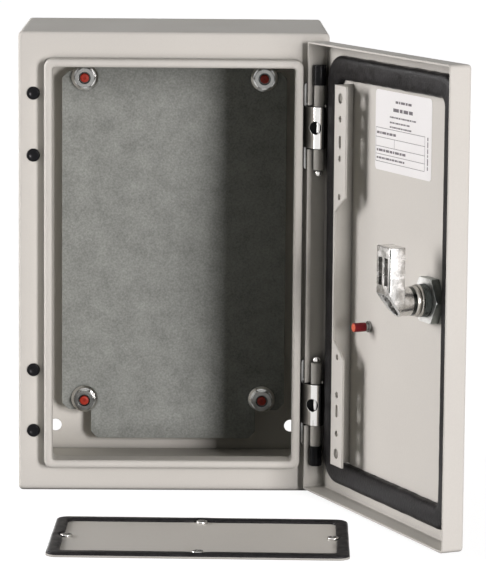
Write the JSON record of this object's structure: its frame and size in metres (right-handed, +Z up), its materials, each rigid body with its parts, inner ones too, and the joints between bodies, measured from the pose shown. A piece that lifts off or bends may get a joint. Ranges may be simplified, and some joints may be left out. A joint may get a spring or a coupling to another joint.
{
  "type": "electrical enclosure",
  "caption": "Wall-mounting sheet-steel electrical enclosure, door hinged open, with a mounting plate inside, a quarter-turn cam lock, foam seals and a loose gland plate.",
  "frame": {"origin": "middle of the four wall-fixing holes, on the outside of the back panel", "axes": "+Y out of the back towards the wall, +Z up, +X to the right seen from the front"},
  "size_m": [0.2748, 0.3234, 0.3],
  "materials": {
    "painted_steel": "light warm-grey powder coat, satin, very fine texture",
    "galvanised_plate": "galvanised sheet, dull grey with fine mottling",
    "zinc_fastener": "bright zinc plate",
    "bright_metal": "polished, slightly worn plating",
    "lock_metal": "turned, plated zinc",
    "foam_gasket": "black foamed seal with a smooth skin",
    "black_plastic": "moulded, semi-gloss",
    "red_plastic": "soft moulded plastic"
  },
  "bodies": {
    "enclosure": {"body_wrap": "painted_steel", "back_panel": "painted_steel", "mounting_studs": "zinc_fastener", "mounting_plate": "galvanised_plate", "plate_nuts": "zinc_fastener", "stud_caps": "red_plastic", "flange_plugs": "black_plastic", "upper_hinge_bracket": "bright_metal", "lower_hinge_bracket": "bright_metal", "hinge_nuts": "zinc_fastener", "gland_plate": "painted_steel", "gland_gasket": "foam_gasket"},
    "door": {"door_panel": "painted_steel", "door_gasket": "foam_gasket", "door_rail": "painted_steel", "upper_hinge_sleeves": "painted_steel", "lower_hinge_sleeves": "painted_steel", "upper_hinge_pin": "bright_metal", "lower_hinge_pin": "bright_metal", "upper_pin_cap": "black_plastic", "lower_pin_cap": "black_plastic", "earth_stud": "zinc_fastener", "earth_stud_cap": "red_plastic", "lock_housing": "lock_metal", "lock_seal": "foam_gasket", "lock_nut": "lock_metal"},
    "lock_cam": {"lock_spindle": "bright_metal", "lock_cam": "bright_metal", "cam_screw": "zinc_fastener"}
  },
  "joints": [
    {"name": "door_swing", "type": "hinge", "parent": "enclosure", "child": "door", "pos_m": [0.0934, -0.14209, 0], "axis": [0, 0, 1], "range_deg": [-113, 12]},
    {"name": "lock_turn", "type": "hinge", "parent": "door", "child": "lock_cam", "pos_m": [0.15755, -0.27608, 0], "axis": [0.9205, 0.3907, 0], "range_deg": [0, 90]}
  ]
}
